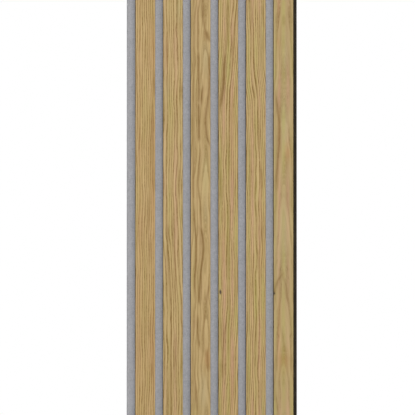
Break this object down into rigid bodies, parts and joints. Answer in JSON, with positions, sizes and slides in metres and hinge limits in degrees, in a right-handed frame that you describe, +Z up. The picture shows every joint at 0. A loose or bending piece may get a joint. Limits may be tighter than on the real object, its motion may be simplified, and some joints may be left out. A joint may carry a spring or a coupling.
{
  "type": "acoustic slat wall panel",
  "caption": "Wall panel of upright oak-veneered slats with dark cores on a grey felt backing, stapled from behind and closed by a black strip along one long edge.",
  "frame": {"origin": "middle of the panel's back, on the wall", "axes": "+Z up along the slats, +Y into the wall, +X to the right as seen from the front; the slats face -Y"},
  "size_m": [0.245, 0.021, 0.61],
  "materials": {
    "oak_veneer": "matt oiled oak",
    "black_core": "black-dyed fibreboard",
    "black_strip": "black-dyed fibreboard",
    "grey_felt": "pressed polyester felt",
    "staple_wire": "galvanised wire"
  },
  "bodies": {
    "root": {"felt_backing": "grey_felt", "slat_core_1": "black_core", "slat_veneer_1": "oak_veneer", "slat_core_2": "black_core", "slat_veneer_2": "oak_veneer", "slat_core_3": "black_core", "slat_veneer_3": "oak_veneer", "slat_core_4": "black_core", "slat_veneer_4": "oak_veneer", "slat_core_5": "black_core", "slat_veneer_5": "oak_veneer", "slat_core_6": "black_core", "slat_veneer_6": "oak_veneer", "edge_strip": "black_strip", "back_staples": "staple_wire"}
  },
  "joints": []
}
